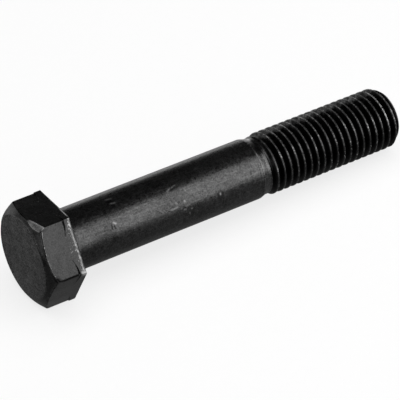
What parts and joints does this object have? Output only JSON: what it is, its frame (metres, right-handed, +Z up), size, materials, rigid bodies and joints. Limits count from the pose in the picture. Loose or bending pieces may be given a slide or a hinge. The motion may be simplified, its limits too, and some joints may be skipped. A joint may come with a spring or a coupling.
{
  "type": "hex bolt",
  "caption": "Long hexagon-head bolt with a plain shank and a partly threaded, chamfered end, in black steel, for clamping parts with a nut or a tapped hole.",
  "frame": {"origin": "centre of the bearing face under the head, on the bolt's axis", "axes": "+X along the axis, from the bearing face towards the threaded end; +Z up, square to one pair of the head's flats"},
  "size_m": [0.1325, 0.0344, 0.0298],
  "materials": {
    "black_steel": "black oxide, lightly oiled, satin, with worn edges"
  },
  "bodies": {
    "root": {"head": "black_steel", "shank": "black_steel", "neck": "black_steel", "thread": "black_steel"}
  },
  "joints": []
}
